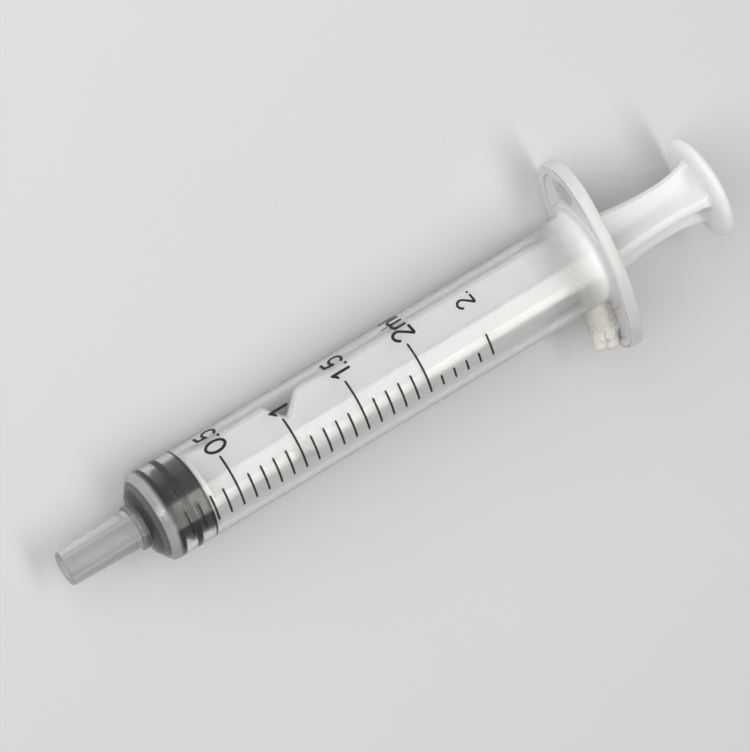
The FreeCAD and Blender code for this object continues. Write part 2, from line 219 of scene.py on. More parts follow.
def laid(points):
    """Points along the syringe's axis, laid down into the frame, in metres."""
    p = np.asarray(points, float)
    c, s = math.cos(REST_TILT), math.sin(REST_TILT)
    tipped = np.column_stack([p[:, 0] * c - p[:, 2] * s, p[:, 1], p[:, 0] * s + p[:, 2] * c])
    return (tipped + np.array(REST_SHIFT)) * MM


# Mesh helpers

def make_object(name, points, faces, sharp_angle):
    """A closed smooth-shaded mesh with its faces turned outwards and edges over an angle kept sharp."""
    mesh = bpy.data.meshes.new(name)
    mesh.from_pydata([tuple(p) for p in laid(points)], [], [tuple(int(i) for i in f) for f in faces])
    mesh.validate()
    mesh.update()
    mesh.shade_smooth()
    mesh.set_sharp_from_angle(angle=math.radians(sharp_angle))
    obj = bpy.data.objects.new(name, mesh)
    bpy.context.scene.collection.objects.link(obj)
    bm = bmesh.new()
    bm.from_mesh(mesh)
    bmesh.ops.recalc_face_normals(bm, faces=bm.faces)
    bm.to_mesh(mesh)
    bm.free()
    mesh.update()
    return obj


def rounded(corners, steps):
    """A polyline through (x, radius, rounding) corners, each rounded corner as a short arc."""
    out = []
    for i, (x, r, rounding) in enumerate(corners):
        here = np.array([x, r], float)
        if rounding == 0:
            out.append(here)
            continue
        back = np.array(corners[i - 1][:2], float) - here
        onward = np.array(corners[i + 1][:2], float) - here
        back /= np.linalg.norm(back)
        onward /= np.linalg.norm(onward)
        half = math.acos(max(-1.0, min(1.0, float(back @ onward)))) / 2
        toward = (back + onward) / np.linalg.norm(back + onward)
        centre = here + toward * rounding / math.sin(half)
        start = here + back * rounding / math.tan(half) - centre
        side = 1.0 if start[1] * back[0] - start[0] * back[1] > 0 else -1.0
        for k in range(steps + 1):
            a = side * (math.pi - 2 * half) * k / steps
            ca, sa = math.cos(a), math.sin(a)
            out.append(centre + np.array([start[0] * ca - start[1] * sa, start[0] * sa + start[1] * ca]))
    return np.array(out)


def divided(line, longest):
    """The polyline with its long runs cut shorter; a run of just the longest length stays whole."""
    out = [line[0]]
    for a, b in zip(line[:-1], line[1:]):
        pieces = max(1, math.ceil(np.linalg.norm(b - a) / longest - 1e-9))
        out.extend(a + (b - a) * k / pieces for k in range(1, pieces + 1))
    return np.array(out)


def quads(rows, cols, wrap_rows=False):
    """The faces of a grid of rings, each ring closed, and the last ring joined to the first if asked."""
    faces = []
    for i in range(rows if wrap_rows else rows - 1):
        k = (i + 1) % rows
        for j in range(cols):
            m = (j + 1) % cols
            faces.append((i * cols + j, i * cols + m, k * cols + m, k * cols + j))
    return faces


def closed_rings(points, cols, first_pole, last_pole):
    """Vertices and faces of a grid of rings, closed by a fan to a pole at each end."""
    rows = len(points) // cols
    faces = quads(rows, cols)
    first, last = len(points), len(points) + 1
    final = (rows - 1) * cols
    for j in range(cols):
        m = (j + 1) % cols
        faces.append((first, m, j))
        faces.append((last, final + j, final + m))
    return np.vstack([points, [first_pole], [last_pole]]), faces


def turned(line, around):
    """Vertices and faces of the solid of revolution of a polyline that starts and ends on the axis."""
    angle = np.arange(around) * 2 * math.pi / around
    points = np.concatenate([np.column_stack([np.full(around, x), -r * np.sin(angle), r * np.cos(angle)])
                             for x, r in line[1:-1]])
    return closed_rings(points, around, [line[0][0], 0, 0], [line[-1][0], 0, 0])


def smoothstep(value, low, high):
    """0 below low, 1 above high, and a smooth rise between."""
    t = np.clip((value - low) / (high - low), 0, 1)
    return t * t * (3 - 2 * t)


def flat_noise(u, v, scale, level):
    """Smooth noise at points of a plane, read at one level of the noise."""
    return np.array([noise.noise(Vector((a * scale, b * scale, level))) for a, b in zip(u, v)])


def paint(obj, name, values):
    """Stores one number a vertex on the mesh, for its material."""
    layer = obj.data.attributes.new(name, "FLOAT", "POINT")
    layer.data.foreach_set("value", values.astype(np.float32))


def ride_as(obj, body, material, slot_name, *nodes):
    """Gives a piece its material, its body and the CAD nodes that it stands for; slot_name is not used."""
    obj.data.materials.clear()
    obj.data.materials.append(MATERIALS[material])
    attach(obj, body)
    if nodes:
        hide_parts(*nodes)


# Materials

class Nodes:
    """A small builder for one Principled material."""

    def __init__(self, name, **settings):
        self.material = bpy.data.materials.new(name)
        self.material.use_nodes = True
        self.tree = self.material.node_tree
        self.shader = self.tree.nodes["Principled BSDF"]
        for key, value in settings.items():
            self.shader.inputs[key.replace("_", " ")].default_value = value

    def add(self, kind, **settings):
        node = self.tree.nodes.new(kind)
        for key, value in settings.items():
            setattr(node, key, value)
        return node

    def link(self, source, socket):
        self.tree.links.new(source, socket)

    def into(self, value, name):
        self.link(value, self.shader.inputs[name])

    def noise(self, scale, detail, roughness=0.55):
        node = self.add("ShaderNodeTexNoise")
        node.inputs["Scale"].default_value = scale
        node.inputs["Detail"].default_value = detail
        node.inputs["Roughness"].default_value = roughness
        self.link(self.add("ShaderNodeTexCoord").outputs["Object"], node.inputs["Vector"])
        return node.outputs["Fac"]

    def spread(self, value, low, high, from_low=0.3, from_high=0.7):
        """The value's middle range stretched over low to high."""
        node = self.add("ShaderNodeMapRange")
        node.inputs["From Min"].default_value = from_low
        node.inputs["From Max"].default_value = from_high
        node.inputs["To Min"].default_value = low
        node.inputs["To Max"].default_value = high
        self.link(value, node.inputs["Value"])
        return node.outputs["Result"]

    def blend_colours(self, factor, first, second):
        """A mix of two colours, each written as numbers or taken from another node."""
        node = self.add("ShaderNodeMix", data_type="RGBA")
        self.link(factor, node.inputs[0])
        for colour, socket in ((first, node.inputs[6]), (second, node.inputs[7])):
            if isinstance(colour, tuple):
                socket.default_value = (*colour, 1)
            else:
                self.link(colour, socket)
        return node.outputs[2]

    def calculate(self, operation, *values):
        """One calculation on numbers and other nodes' outputs."""
        node = self.add("ShaderNodeMath", operation=operation)
        for value, socket in zip(values, node.inputs):
            if isinstance(value, float):
                socket.default_value = value
            else:
                self.link(value, socket)
        return node.outputs[0]

    def attribute(self, name):
        return self.add("ShaderNodeAttribute", attribute_name=name).outputs["Fac"]

    def bump(self, height, strength, distance):
        node = self.add("ShaderNodeBump")
        node.inputs["Strength"].default_value = strength
        node.inputs["Distance"].default_value = distance
        self.link(height, node.inputs["Height"])
        self.into(node.outputs["Normal"], "Normal")


def clear_plastic():
    """Clear polypropylene: glossy, see-through, milky where it is thick, grey where it is worn and where
    shade is painted on.
    """
    m = Nodes("clear_plastic", IOR=1.4)
    haze_and_highlight = m.attribute("haze_and_highlight")
    milky = m.blend_colours(m.noise(420, 4), (0.785, 0.784, 0.778), (0.85, 0.849, 0.845))
    tint = m.blend_colours(m.spread(haze_and_highlight, 0, 1, 0.0, 0.2), (0.996, 0.998, 1.0), milky)
    # Blue-grey mix: real wear on the ear's rough patch, painted shade on the nozzle, the front rim, the
    # flange's front face and round the panels
    m.into(m.blend_colours(m.attribute("wear_and_shade"), tint, (0.38, 0.41, 0.44)), "Base Color")
    clear = m.calculate("SUBTRACT", 1.0, haze_and_highlight)
    m.into(clear, "Transmission Weight")
    m.into(m.calculate("MULTIPLY_ADD", haze_and_highlight, 0.05, m.spread(m.noise(900, 3), 0.13, 0.18)), "Roughness")
    m.bump(m.noise(150, 3, 0.5), 0.02, 0.0002)
    # Lamplight passes the clear wall straight, only dimmed
    straight = m.add("ShaderNodeBsdfTransparent")
    straight.inputs["Color"].default_value = (0.36, 0.36, 0.36, 1)
    shadow_ray = m.add("ShaderNodeLightPath").outputs["Is Shadow Ray"]
    either = m.add("ShaderNodeMixShader")
    m.link(m.calculate("MULTIPLY", shadow_ray, clear), either.inputs[0])
    m.link(m.shader.outputs[0], either.inputs[1])
    m.link(straight.outputs[0], either.inputs[2])
    m.link(either.outputs[0], m.tree.nodes["Material Output"].inputs["Surface"])
    return m.material


def white_plastic():
    """Soft white polypropylene with a faint moulded unevenness."""
    m = Nodes("white_plastic", IOR=1.49, Subsurface_Weight=0.6, Subsurface_Scale=0.002,
              Subsurface_Radius=(1.0, 0.95, 0.9))
    m.into(m.blend_colours(m.noise(220, 4), (0.775, 0.775, 0.785), (0.83, 0.83, 0.835)), "Base Color")
    m.into(m.spread(m.noise(700, 3), 0.32, 0.44), "Roughness")
    m.bump(m.noise(420, 5, 0.6), 0.05, 0.0003)
    return m.material


def black_rubber():
    """Black moulded rubber, satin, with fine bloom."""
    m = Nodes("black_rubber", IOR=1.5)
    m.into(m.blend_colours(m.noise(900, 5), (0.008, 0.008, 0.009), (0.02, 0.019, 0.019)), "Base Color")
    m.into(m.spread(m.noise(1500, 3), 0.38, 0.55), "Roughness")
    m.bump(m.noise(3000, 4), 0.15, 0.0001)
    return m.material


def black_ink():
    """Printed black ink, slightly uneven."""
    m = Nodes("black_ink", IOR=1.45)
    m.into(m.blend_colours(m.noise(1800, 4), (0.006, 0.006, 0.008), (0.02, 0.02, 0.022)), "Base Color")
    m.into(m.spread(m.noise(2500, 2), 0.4, 0.6), "Roughness")
    return m.material


def torn_plastic():
    """Stress-whitened, torn flash plastic: cream, with fibrous white ends."""
    m = Nodes("torn_plastic", IOR=1.49, Subsurface_Weight=0.35, Subsurface_Scale=0.0008,
              Subsurface_Radius=(1.0, 0.85, 0.7))
    m.into(m.blend_colours(m.attribute("torn"), (0.66, 0.64, 0.59), (0.80, 0.785, 0.73)), "Base Color")
    m.into(m.spread(m.noise(2500, 4), 0.3, 0.62), "Roughness")
    m.bump(m.noise(1800, 6, 0.65), 0.5, 0.0004)
    return m.material


def floor_matte():
    """A matt pale floor with a faint unevenness."""
    m = Nodes("floor_matte", Roughness=0.75)
    m.into(m.blend_colours(m.noise(14, 3), (0.69, 0.695, 0.70), (0.72, 0.725, 0.73)), "Base Color")
    return m.material


MATERIALS = {make.__name__: make()
             for make in (clear_plastic, white_plastic, black_rubber, black_ink, torn_plastic, floor_matte)}


# Barrel

# Where the clear plastic turns milky along the axis, or outwards from it, and how milky it gets
CLEAR_HAZE = 0.008
FLANGE_HAZE = 0.82
FLANGE_STRETCH = (54.4, 55.3)
FLANGE_RISE = (4.9, 5.6)
MOUTH_HAZE = 0.5
MOUTH_STRETCH = (48.5, 54.5)
ROOT_HAZE = 0.6
ROOT_STRETCH = (53.3, 54.6)
RIM_HAZE = 0.42
RIM_STRETCH = (-0.05, 0.3)
RIM_RISE = (4.5, 4.72)
BEVEL_FOOT_SHARE = 0.28
BEVEL_FOOT_STRETCH = (0.9, 1.5)
BEVEL_FOOT_RADIUS = 3.75
NOZZLE_HAZE = 0.22
NOZZLE_STRETCH = (2.2, 2.5)

# The nick in the front rim: a small dent, with milky whitening on it as a painted highlight
NICK_HIGHLIGHT_X = -0.75
NICK_HIGHLIGHT_ANGLE = 1.07
NICK_HIGHLIGHT_LENGTH = 0.4
NICK_HIGHLIGHT_WIDTH = 0.11
NICK_HIGHLIGHT_INNER_RADIUS = 4.7

# The rough patch on the front of the lumpless ear: a lens set across the y and z axes
PATCH_Y = 8.47
PATCH_Z = 0.36
PATCH_HALF_LENGTH = 1.1
PATCH_HALF_BREADTH = 0.8
PATCH_LONG_AXIS = (-0.47, 0.284)
PATCH_SHORT_AXIS = (0.27, 0.252)


def oval_radius(angles):
    """How far the flange's outline is from the axis, at angles from the ears' direction."""
    tip = FLANGE_HALF_LENGTH - EAR_TIP_RADIUS
    side = (tip**2 + FLANGE_HALF_WIDTH**2 - EAR_TIP_RADIUS**2) / (2 * EAR_NARROWING)
    side_centre = side - FLANGE_HALF_WIDTH
    c, s = np.abs(np.cos(angles)), np.abs(np.sin(angles))
    on_tip = tip * c + np.sqrt(np.maximum(EAR_TIP_RADIUS**2 - (tip * s)**2, 0))
    on_side = -side_centre * s + np.sqrt((side_centre * s)**2 + side**2 - side_centre**2)
    beyond = np.arctan2(on_tip * s, on_tip * c - tip) < math.atan2(side_centre, tip)
    return np.where(beyond, on_tip, on_side)


def panel_share(inset, r):
    """How deep in an ear's sunk panel a point is, from 0 to 1, and how near to the panel's border."""
    from_outline = smoothstep(inset, PANEL_MARGIN, PANEL_MARGIN + PANEL_BORDER)
    panel = from_outline * smoothstep(r, PANEL_ROOT, PANEL_ROOT + PANEL_ROOT_SLOPE)
    return panel, 4 * panel * (1 - panel)


def barrel_outside():
    """Nozzle, collar, front face, bevel and tube, up to the flange's root."""
    run, rise = BEVEL_END - BEVEL_START, BARREL_RADIUS - FRONT_FACE_RADIUS
    bevel = [(BEVEL_START + share * run, FRONT_FACE_RADIUS + share * rise, 0) for share in (0.3, 0.5, 0.65)]
    fillet_start = FLANGE_FRONT - FLANGE_ROOT_FILLET
    return divided(rounded([
        (NOZZLE_TIP, NOZZLE_BORE_RADIUS, 0),
        (NOZZLE_TIP, NOZZLE_TIP_RADIUS, NOZZLE_TIP_ROUND),
        (COLLAR_FRONT, NOZZLE_BASE_RADIUS, COLLAR_ROUND),
        (COLLAR_FRONT, COLLAR_RADIUS, COLLAR_ROUND),
        (FRONT_FACE, COLLAR_RADIUS, COLLAR_ROUND),
        (BEVEL_START, FRONT_FACE_RADIUS, COLLAR_ROUND),
        *bevel,
        (BEVEL_END, BARREL_RADIUS, FRONT_RIM_ROUND),
        (-0.12, BARREL_RADIUS, 0),
        (0.1, BARREL_RADIUS, 0),
        (fillet_start - 0.6, BARREL_RADIUS, 0),
        (fillet_start - 0.12, BARREL_RADIUS, 0),
        (FLANGE_FRONT, BARREL_RADIUS, FLANGE_ROOT_FILLET),
        (FLANGE_FRONT, FILLET_TOP + 0.001, 0),
    ], 8), 1.6)


def barrel_inside():
    """The flared mouth, the bore with its retaining bead, the end cone and the nozzle's bore."""
    foot, crown = BEAD_WIDTH / 2, BEAD_WIDTH / 4
    return divided(rounded([
        (BARREL_END, BORE_RADIUS + MOUTH_FLARE, 0),
        (BARREL_END - MOUTH_FLARE_LENGTH, BORE_RADIUS, INNER_ROUND),
        (BEAD_CENTRE + foot, BORE_RADIUS, INNER_ROUND),
        (BEAD_CENTRE + crown, BEAD_RADIUS, INNER_ROUND),
        (BEAD_CENTRE - crown, BEAD_RADIUS, INNER_ROUND),
        (BEAD_CENTRE - foot, BORE_RADIUS, INNER_ROUND),
        (-BORE_LAND, BORE_RADIUS, BORE_LAND),
        (END_CONE_TIP, NOZZLE_BORE_RADIUS, INNER_ROUND),
        (NOZZLE_TIP + NOZZLE_BORE_LIP, NOZZLE_BORE_RADIUS, 0),
    ], 6), 2.0)


def barrel_mesh():
    """Rings round the axis: outside, flange front, flange rim, flange back, mouth, bore and nozzle bore."""
    around, front_rings, back_rings, rim_steps = 336, 72, 20, 5
    angle = np.arange(around) * 2 * math.pi / around
    reach = oval_radius(angle)
    inside = barrel_inside()
    rings = [(x, r) for x, r in barrel_outside()]
    for share in np.linspace(0, 1, front_rings)[1:]:
        r = FILLET_TOP + (reach - FLANGE_EDGE_ROUND - FILLET_TOP) * share
        panel, border = panel_share(reach - r, r)
        rings.append((FLANGE_FRONT + PANEL_DEPTH * panel + PANEL_GROOVE_DEPTH * border, r))
    for k in range(1, rim_steps + 1):
        a = math.pi / 2 * k / rim_steps
        rings.append((FLANGE_FRONT + FLANGE_EDGE_ROUND * (1 - math.cos(a)),
                      reach - FLANGE_EDGE_ROUND * (1 - math.sin(a))))
    for k in range(rim_steps + 1):
        a = math.pi / 2 * k / rim_steps
        rings.append((BARREL_END - FLANGE_EDGE_ROUND * (1 - math.sin(a)),
                      reach - FLANGE_EDGE_ROUND * (1 - math.cos(a))))
    back_edge, mouth = reach - FLANGE_EDGE_ROUND, inside[0][1]
    rings.extend((BARREL_END, back_edge + (mouth - back_edge) * share)
                 for share in np.linspace(0, 1, back_rings)[1:-1])
    rings.extend((x, r) for x, r in inside)
    points = np.concatenate([np.column_stack([np.full(around, x), r * np.cos(angle), r * np.sin(angle)])
                             for x, r in rings])
    return points, quads(len(rings), around, wrap_rows=True)


def ear_patch(points):
    """Share of a point in the rough lens-shaped patch on the front of the lumpless ear."""
    y, z = points[:, 1] - PATCH_Y, points[:, 2] - PATCH_Z
    length = PATCH_LONG_AXIS[0] * y + PATCH_LONG_AXIS[1] * z
    breadth = PATCH_SHORT_AXIS[0] * y + PATCH_SHORT_AXIS[1] * z
    ragged = 0.3 * flat_noise(points[:, 1], points[:, 2], 1.7, 3.0)
    lens = 1 - (length / PATCH_HALF_LENGTH)**2 - np.abs(breadth) / PATCH_HALF_BREADTH + ragged
    on_face = (np.abs(points[:, 0] - FLANGE_FRONT - PANEL_DEPTH / 2) < 0.2) & (points[:, 1] > BARREL_RADIUS)
    return smoothstep(lens, 0.0, 0.25) * on_face


def ear_lines(points):
    """Share of a point in the flange's dark lines: painted shade in the grooves round the panels, and a
    dark line along the upper front edge.
    """
    x, y, z = points.T
    r = np.hypot(y, z)
    inset = oval_radius(np.arctan2(z, y)) - r
    # Painted shade in the grooves round the panels
    border = 0.45 * panel_share(inset, r)[1] * (r > PANEL_ROOT + 0.3)
    edge = np.exp(-((inset - 0.3) / 0.15)**2) * smoothstep(z, -0.5, 1.2) * smoothstep(np.abs(y), 3.0, 6.0)
    edge *= np.clip(0.75 + 0.6 * flat_noise(y, z, 0.8, 11.0), 0, 1)
    return np.maximum(border, edge) * (np.abs(x - FLANGE_FRONT) < 0.4)


def build_barrel():
    """The clear moulding, with its milkiness, wear, painted shade and painted highlight stored on its
    points.
    """
    points, faces = barrel_mesh()
    patch = ear_patch(points)
    roughness = np.array([noise.fractal(Vector(p) * 3.1, 0.7, 2.0, 4) for p in points])
    points[:, 0] += patch * (0.02 + 0.07 * roughness)
    x, r = points[:, 0].copy(), np.hypot(points[:, 1], points[:, 2])
    cloud = np.array([noise.noise(Vector(p) * 0.35) for p in points])

    flange = smoothstep(x, *FLANGE_STRETCH) * smoothstep(r, *FLANGE_RISE)
    rim = smoothstep(-x, *RIM_STRETCH) * smoothstep(r, *RIM_RISE)
    rim += BEVEL_FOOT_SHARE * smoothstep(-x, *BEVEL_FOOT_STRETCH) * (r > BEVEL_FOOT_RADIUS)
    nozzle = smoothstep(-x, *NOZZLE_STRETCH)
    off_nick_highlight = np.arctan2(points[:, 2], points[:, 1]) - NICK_HIGHLIGHT_ANGLE
    nick_highlight = np.exp(-((x - NICK_HIGHLIGHT_X) / NICK_HIGHLIGHT_LENGTH)**2 - (off_nick_highlight / NICK_HIGHLIGHT_WIDTH)**2) * (r > NICK_HIGHLIGHT_INNER_RADIUS)
    points[:, 1:] *= (1 - nick_highlight * (0.012 + 0.03 * np.abs(roughness)))[:, None]

    haze_and_highlight = CLEAR_HAZE + 0.004 * cloud + flange * (FLANGE_HAZE + 0.1 * cloud)
    haze_and_highlight += smoothstep(x, *MOUTH_STRETCH) * (1 - flange) * (MOUTH_HAZE + 0.1 * cloud)
    haze_and_highlight += smoothstep(x, *ROOT_STRETCH) * (1 - flange) * ROOT_HAZE
    # The nick's milky whitening is a painted highlight on the front rim
    haze_and_highlight += (rim * RIM_HAZE + nozzle * NOZZLE_HAZE) * (1 + 0.25 * cloud) + nick_highlight * (0.35 + 0.5 * roughness)

    obj = make_object("barrel_body", points, faces, 40)
    mottle = np.clip(0.65 + 0.42 * roughness, 0.2, 1.0)
    # Painted shade: the flange's front face darkened a little
    front_face_shade = flange * (0.1 + 0.08 * cloud) * (x < FLANGE_FRONT + 0.3)
    # Greying: wear on the ear's rough patch; painted shade in the panel grooves, on the nozzle, the front
    # rim and the flange's front face; a dark line along the upper front edge
    wear_and_shade = np.maximum.reduce([patch * mottle, ear_lines(points), nozzle * 0.35 + rim * 0.15, front_face_shade])
    paint(obj, "haze_and_highlight", np.clip(haze_and_highlight, 0, 1))
    paint(obj, "wear_and_shade", wear_and_shade)
    ride_as(obj, "barrel", "clear_plastic", "clear_plastic", "barrel")


# Torn lump

# Two lobes with a crack between, on a double root: offsets along the axis, reaches past the tube, and radii
LUMP_SEAT = -1.35
LUMP_ROOT_DEPTH = 0.35
LUMP_ROOT_HEIGHT = 1.0
LUMP_END_HEIGHT = 0.5
LUMP_BODY_REACH = 3.3
LUMP_BODY_RADIUS = 1.6
LUMP_WEB_OFFSET = 0.95
LUMP_WEB_SHORTER = 0.5
LUMP_WEB_RADIUS = 1.4
LUMP_LOBES = ((-0.9, 4.7, 0.84), (0.38, 5.05, 1.02))
LUMP_LOBE_FOOT = 0.4
LUMP_BLEND = 0.16
CRACK_OFFSET = -0.45
CRACK_WIDTH = 0.075
CRACK_DEPTH = 0.35


def lump_bars():
    """The rounded bars, each (start, end, radius), that the lump is blended from."""
    seat = FLANGE_FRONT + LUMP_SEAT
    root = np.array([seat, -BORE_RADIUS - LUMP_ROOT_DEPTH, LUMP_ROOT_HEIGHT])
    end = np.array([seat, -BARREL_RADIUS - LUMP_BODY_REACH, LUMP_END_HEIGHT])
    web = np.array([LUMP_WEB_OFFSET, 0, 0])
    web_end = end + web + [0, LUMP_WEB_SHORTER, 0]
    bars = [(root, end, LUMP_BODY_RADIUS), (root + web, web_end, LUMP_WEB_RADIUS)]
    for offset, reach, radius in LUMP_LOBES:
        foot = (root + end) / 2 + [math.copysign(LUMP_LOBE_FOOT, offset), 0, 0]
        bars.append((foot, np.array([seat + offset, -BARREL_RADIUS - reach, LUMP_END_HEIGHT]), radius))
    return bars


def depth_in(bars, points):
    """How deep points are inside the union of rounded bars, softly blended."""
    total = 0
    for start, end, radius in bars:
        along = end - start
        t = np.clip(((points - start) @ along) / (along @ along), 0, 1)
        gap = radius - np.linalg.norm(points - start - t[:, None] * along, axis=1)
        total = total + np.exp(gap / LUMP_BLEND)
    return LUMP_BLEND * np.log(total)


def surface_points(bars, centre, directions):
    """Where rays from the centre leave the blended bars, found by halving."""
    low, high = np.zeros(len(directions)), np.full(len(directions), 8.0)
    for _ in range(26):
        middle = (low + high) / 2
        inside = depth_in(bars, centre + directions * middle[:, None]) > 0
        low, high = np.where(inside, middle, low), np.where(inside, high, middle)
    return centre + directions * low[:, None]


def build_lump():
    """The lump of torn moulding seated on the ear and the tube, with its fibres and its crack."""
    bars = lump_bars()
    root, end, _ = bars[0]
    centre = (root + end) / 2 + [0, -1.2, 0]
    around, along = 180, 130
    theta = np.arange(around) * 2 * math.pi / around
    phi = np.arange(1, along)[:, None] * math.pi / along
    ways = np.broadcast_arrays(np.sin(phi) * np.cos(theta), -np.cos(phi), np.sin(phi) * np.sin(theta))
    rings = surface_points(bars, centre, np.stack(ways, axis=-1).reshape(-1, 3))
    poles = surface_points(bars, centre, np.array([[0.0, -1.0, 0.0], [0.0, 1.0, 0.0]]))
    points, faces = closed_rings(rings, around, *poles)
    torn = smoothstep(-points[:, 1], 7.5, 8.9)
    for i, p in enumerate(points):
        away = (p - centre) / np.linalg.norm(p - centre)
        rough = noise.fractal(Vector(p) * 2.4, 0.9, 2.1, 5)
        fibres = noise.noise(Vector((p[0] * 6, p[1] * 1.2, p[2] * 6)))
        crack_x = root[0] + CRACK_OFFSET + 0.1 * math.sin(p[1] * 3)
        crack = math.exp(-((p[0] - crack_x) / CRACK_WIDTH)**2) * max(0.0, torn[i] - 0.1)
        p += away * (-0.08 + 0.07 * rough + torn[i] * 0.08 * fibres - CRACK_DEPTH * crack)
    obj = make_object("torn_lump", points, faces, 180)
    paint(obj, "torn", torn)
    ride_as(obj, "barrel", "torn_plastic", "clear_plastic", "barrel")


# Stopper

def nose_place(radius):
    """Where the stopper's nose lies at a radius: pressed against the barrel's end cone."""
    share = (BORE_RADIUS - radius) / (BORE_RADIUS - NOZZLE_BORE_RADIUS)
    return -BORE_LAND - STOPPER_SQUEEZE - END_CONE_LENGTH * share


def build_stopper():
    """The rubber stopper: conical nose, two sealing ribs, a land with a rear lip, and the socket."""
    rib = BORE_RADIUS + STOPPER_SQUEEZE
    land = BORE_RADIUS - REAR_LAND_DEPTH
    groove = BORE_RADIUS - GROOVE_DEPTH
    groove_end = FRONT_RIB_WIDTH + GROOVE_WIDTH
    rear_rib_end = groove_end + REAR_RIB_WIDTH
    lip_start = STOPPER_LENGTH - REAR_LIP_WIDTH
    socket_floor = SNAP_HEAD_FRONT - SNAP_CLEARANCE
    shoulder = SNAP_NECK_FRONT + SNAP_CLEARANCE
    socket_radius = SNAP_HEAD_RADIUS + SNAP_CLEARANCE
    neck_radius = SNAP_NECK_RADIUS + SNAP_CLEARANCE
    line = rounded([
        (nose_place(NOZZLE_BORE_RADIUS), 0, 0),
        (nose_place(NOZZLE_BORE_RADIUS), NOZZLE_BORE_RADIUS, RIB_ROUND),
        (nose_place(rib), rib, RIB_ROUND),
        (FRONT_RIB_WIDTH, rib, RIB_ROUND),
        (FRONT_RIB_WIDTH, groove, GROOVE_ROUND),
        (groove_end, groove, GROOVE_ROUND),
        (groove_end, rib, RIB_ROUND),
        (rear_rib_end, rib, REAR_LIP_ROUND),
        (rear_rib_end, land, REAR_LIP_ROUND),
        (lip_start, land, REAR_LIP_ROUND),
        (lip_start, rib, REAR_LIP_ROUND),
        (STOPPER_LENGTH, rib, RIB_ROUND),
        (STOPPER_LENGTH, neck_radius, 0),
        (shoulder, neck_radius, 0),
        (shoulder, socket_radius, 0),
        (socket_floor, socket_radius, 0),
        (socket_floor, 0, 0),
    ], 7)
    obj = make_object("stopper_body", *turned(divided(line, 1.5), 192), 50)
    ride_as(obj, "stopper", "black_rubber", "black_rubber", "stopper")


# Plunger rod

# Stretches of the rod, each (start, end, number of sections), close together where its outline turns
ROD_STRETCHES = (
    (ROD_FRONT + 0.2, 15, 14),
    (15, 21, 56),
    (21, 54, 24),
    (54, 66, 26),
    (66, THUMB_FRONT + 0.3, 40),
)

# How much thicker the ribs get where they meet the discs, and over which length
THUMB_SWELL = 0.32
THUMB_SWELL_LENGTH = 0.9
FRONT_SWELL = 0.15
FRONT_SWELL_LENGTH = 0.4


def rib_reach(stations):
    """The ribs' radius along the rod: full width, break notch, taper, waist and flare."""
    past_front = 0.4
    flare_slope = THUMB_FLARE_RISE / THUMB_FLARE_LENGTH
    line = rounded([
        (ROD_FRONT, RIB_RADIUS, 0),
        (NOTCH_CENTRE - NOTCH_FRONT_LENGTH, RIB_RADIUS, NOTCH_FRONT_ROUND),
        (NOTCH_CENTRE, NOTCH_NECK_RADIUS, NOTCH_NECK_ROUND),
        (NOTCH_CENTRE + NOTCH_REAR_LENGTH, RIB_RADIUS, NOTCH_REAR_ROUND),
        (TAPER_START, RIB_RADIUS, TAPER_START_ROUND),
        (TAPER_START + TAPER_LENGTH, WAIST_RADIUS, WAIST_ROUND),
        (THUMB_FRONT - THUMB_FLARE_LENGTH, WAIST_RADIUS, THUMB_FLARE_ROUND),
        (THUMB_FRONT + past_front, WAIST_RADIUS + THUMB_FLARE_RISE + past_front * flare_slope, 0),
    ], 12)
    return np.interp(stations, line[:, 0], line[:, 1])


def rod_section(reach, half):
    """One cross of four rounded ribs of half a thickness each side, as a closed outline in y and z."""
    core = max(RIB_CORE_RADIUS, half * 1.5)
    edge = RIB_EDGE_ROUND
    tip_angle = math.asin((half - edge) / (reach - edge))
    side_end = math.sqrt((reach - edge)**2 - (half - edge)**2)
    valley = math.sqrt(core**2 - half**2)
    flank = [(valley + (side_end - valley) * share, -half) for share in (0.0, 0.25, 0.6, 0.85, 1.0)]
    for k in range(1, 4):
        a = -math.pi / 2 + (math.pi / 2 - tip_angle) * k / 4
        flank.append((side_end + edge * math.cos(a), -(half - edge) + edge * math.sin(a)))
    tip = [(reach * math.cos(tip_angle * share), reach * math.sin(tip_angle * share))
           for share in np.linspace(-1, 1, 7)]
    arm = flank + tip + [(y, -z) for y, z in reversed(flank)]
    outline = []
    start = math.atan2(half, valley)
    for quarter in range(4):
        turn = quarter * math.pi / 2
        c, s = math.cos(turn), math.sin(turn)
        outline += [(y * c - z * s, y * s + z * c) for y, z in arm]
        for share in (1 / 3, 2 / 3):
            a = turn + start + (math.pi / 2 - 2 * start) * share
            outline.append((core * math.cos(a), core * math.sin(a)))
    return outline


def rod_cross():
    """The four ribs from the front disc to the thumb disc, as rings of one section each."""
    stations = np.unique(np.concatenate([np.linspace(*stretch) for stretch in ROD_STRETCHES]))
    rings = []
    for x, reach in zip(stations, rib_reach(stations)):
        near_thumb = min(max(0.0, 1 - (THUMB_FRONT - x) / THUMB_SWELL_LENGTH), 1)
        near_front = min(max(0.0, 1 - (x - RIB_FRONT) / FRONT_SWELL_LENGTH), 1)
        half = RIB_HALF + THUMB_SWELL * near_thumb**2 + FRONT_SWELL * near_front**2
        rings.append([(x, y, z) for y, z in rod_section(min(reach, RIB_RADIUS), half)])
    cols = len(rings[0])
    return closed_rings(np.concatenate(rings), cols, [stations[0], 0, 0], [stations[-1], 0, 0])


